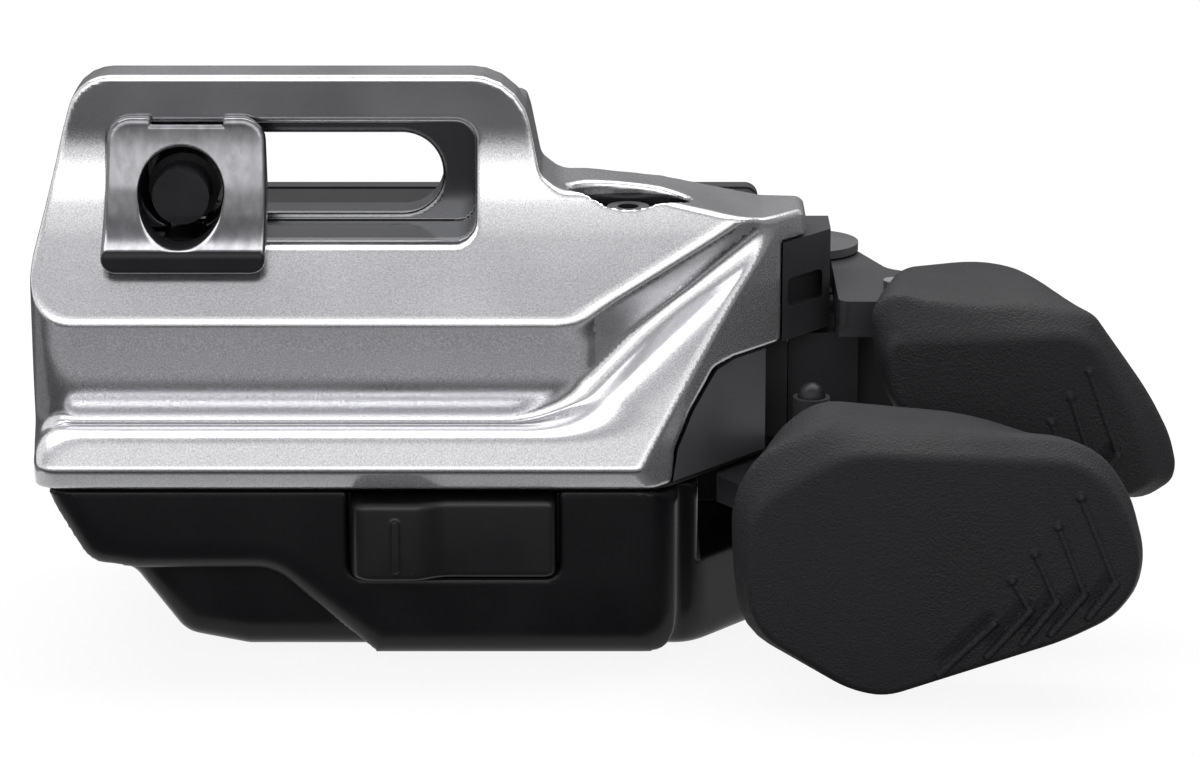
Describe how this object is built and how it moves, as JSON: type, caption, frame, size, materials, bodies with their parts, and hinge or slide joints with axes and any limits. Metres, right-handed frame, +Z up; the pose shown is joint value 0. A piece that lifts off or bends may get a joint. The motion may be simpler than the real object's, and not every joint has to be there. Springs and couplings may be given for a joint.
{
  "type": "trigger gear shifter",
  "caption": "Right-hand bicycle trigger shifter: slotted clamp flange with a curved saddle, silver cover, black lower housing with a front button, rubber-padded thumb levers.",
  "frame": {"origin": "on the clamp bolt's axis, at the front face of the slotted flange", "axes": "+X towards the thumb pads, +Y away from the rider, +Z up"},
  "size_m": [0.0814, 0.0358, 0.0409],
  "materials": {
    "saddle_metal": "brushed, with polished edges",
    "black_steel": "black oxide",
    "steel": "machined",
    "cover_silver": "fine metallic paint, satin",
    "seal_rubber": "smooth",
    "housing_black": "satin moulded",
    "panel_grey": "satin moulded",
    "bracket_black": "fine moulded grain",
    "board_green": "lacquered board",
    "switch_black": "moulded",
    "holder_black": "moulded",
    "cell_nickel": "nickel plated",
    "contact_brass": "pressed strip",
    "door_black": "satin moulded",
    "arm_black": "black powder coat",
    "bush_bronze": "sintered",
    "pad_rubber": "fine grain",
    "spring_steel": "drawn wire",
    "button_black": "satin moulded"
  },
  "bodies": {
    "clamp": {"clamp_saddle": "saddle_metal", "clamp_bolt": "black_steel", "slide_washer": "steel"},
    "upper_lever": {"upper_arm": "arm_black", "upper_bush": "bush_bronze", "upper_pad": "pad_rubber", "upper_pad_screws": "steel"},
    "lower_lever": {"lower_arm": "arm_black", "lower_bush": "bush_bronze", "lower_pad": "pad_rubber", "lower_pad_screws": "steel", "adjuster_screw": "black_steel"},
    "button": {"function_button": "button_black"},
    "housing": {"top_cover": "cover_silver", "cover_screw": "black_steel", "cover_gasket": "seal_rubber", "lower_housing": "housing_black", "housing_screws": "steel", "side_panel": "panel_grey", "side_bracket": "bracket_black", "bracket_screws": "steel", "pivot_pin": "black_steel", "pivot_cap": "panel_grey", "retaining_ring": "black_steel", "circuit_board": "board_green", "upper_switch": "switch_black", "lower_switch": "switch_black", "button_board": "board_green", "function_switch": "switch_black", "battery_holder": "holder_black", "coin_cell_1": "cell_nickel", "coin_cell_2": "cell_nickel", "contact_plate": "contact_brass", "door_gasket": "seal_rubber", "battery_door": "door_black", "door_screws": "steel", "upper_spring": "spring_steel", "lower_spring": "spring_steel"}
  },
  "joints": [
    {"name": "side_adjust", "type": "slide", "parent": "clamp", "child": "housing", "axis": [1, 0, 0], "range_m": [-0.014, 0]},
    {"name": "upper_press", "type": "hinge", "parent": "housing", "child": "upper_lever", "pos_m": [0.0452, 0.0138, -0.009], "axis": [0, 0, 1], "range_deg": [0, 7], "stiffness_Nm_per_rad": 0.6, "springref_deg": -3.44},
    {"name": "lower_press", "type": "hinge", "parent": "housing", "child": "lower_lever", "pos_m": [0.0452, 0.0138, -0.0205], "axis": [0, 0, 1], "range_deg": [0, 7], "stiffness_Nm_per_rad": 0.6, "springref_deg": -3.44},
    {"name": "function_press", "type": "slide", "parent": "housing", "child": "button", "axis": [0, 1, 0], "range_m": [0, 0.0005], "stiffness_N_per_m": 3000, "springref_m": -0.0001}
  ]
}
